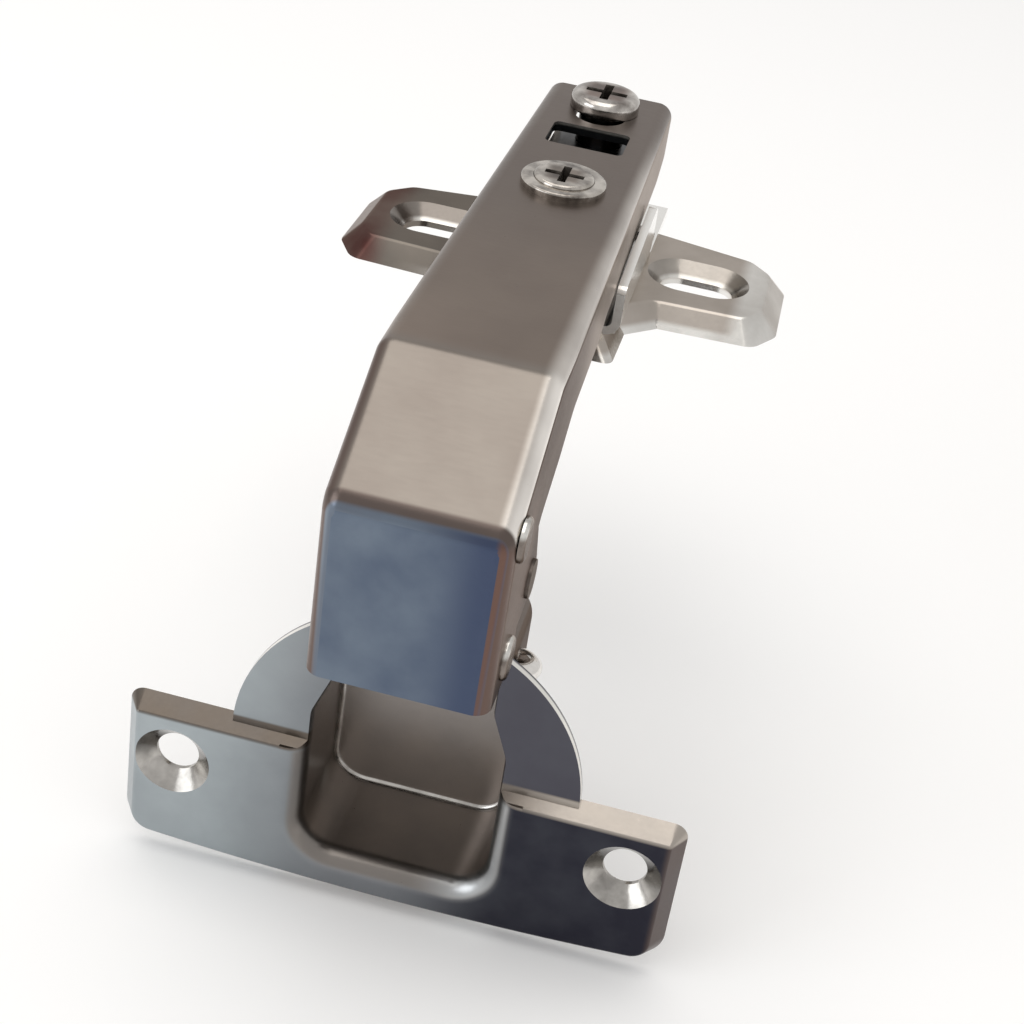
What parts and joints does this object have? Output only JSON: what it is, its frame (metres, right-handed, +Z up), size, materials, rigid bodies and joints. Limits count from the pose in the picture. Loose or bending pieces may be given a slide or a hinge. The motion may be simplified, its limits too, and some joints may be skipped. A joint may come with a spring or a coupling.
{
  "type": "concealed cabinet hinge",
  "caption": "Sprung slide-on concealed hinge for a blind corner, fully open: angled channel arm, winged mounting plate and oblong drawn cup with a wide screw flange",
  "frame": {"origin": "middle of the line through the two slots of the mounting plate, on the plate's mounting face", "axes": "+Z up off the mounting face, +Y towards the tail of the arm, X across the arm through both slots"},
  "size_m": [0.059, 0.0885, 0.0659],
  "materials": {
    "arm": "satin nickel plate",
    "cup": "satin nickel plate",
    "plate": "satin nickel plate",
    "link": "satin nickel plate",
    "screw": "bright nickel plate",
    "rivet": "bright nickel plate",
    "wire": "bright drawn wire",
    "spring": "drawn spring wire"
  },
  "bodies": {
    "plate": {"mounting_plate": "plate", "plate_saddle": "plate", "saddle_rivet_rear_left": "rivet", "saddle_rivet_rear_right": "rivet", "saddle_rivet_front_left": "rivet", "saddle_rivet_front_right": "rivet"},
    "fixing_screw": {"fixing_screw": "screw"},
    "arm": {"hinge_arm": "arm", "adjust_bush": "screw", "outer_link_rivet": "rivet", "inner_pin_left": "rivet", "inner_pin_right": "rivet", "spring_rivet": "rivet", "closing_spring": "spring"},
    "side_screw": {"side_adjust_screw": "screw"},
    "outer_link": {"outer_link": "link"},
    "inner_links": {"inner_link_left": "link", "inner_link_right": "link"},
    "cup": {"hinge_cup": "cup", "cup_staple": "wire"}
  },
  "joints": [
    {"name": "depth_slide", "type": "slide", "parent": "plate", "child": "arm", "axis": [0, 1, 0], "range_m": [-0.0025, 0.0025]},
    {"name": "fixing_screw_turn", "type": "hinge", "parent": "plate", "child": "fixing_screw", "pos_m": [0, 0.0116, 0.0165], "axis": [0, 0, 1], "range_deg": [-180, 180]},
    {"name": "side_screw_turn", "type": "hinge", "parent": "arm", "child": "side_screw", "pos_m": [0, -0.0136, 0.015], "axis": [0, 0, 1], "range_deg": [-180, 180]},
    {"name": "door_fold", "type": "hinge", "parent": "arm", "child": "outer_link", "pos_m": [0, -0.06786, 0.00613], "axis": [1, 0, 0], "range_deg": [0, 45.9]},
    {"name": "cup_fold", "type": "hinge", "parent": "outer_link", "child": "cup", "pos_m": [0, -0.05914, -0.01537], "axis": [1, 0, 0], "range_deg": [-135.95, 0]},
    {"name": "inner_link_fold", "type": "hinge", "parent": "arm", "child": "inner_links", "pos_m": [0, -0.0575, -0.0051], "axis": [1, 0, 0], "range_deg": [0, 76.05]}
  ],
  "couplings": [
    {"joint": "cup_fold", "follows": "door_fold", "ratio": -2.9608},
    {"joint": "inner_link_fold", "follows": "door_fold", "ratio": 1.6558}
  ]
}
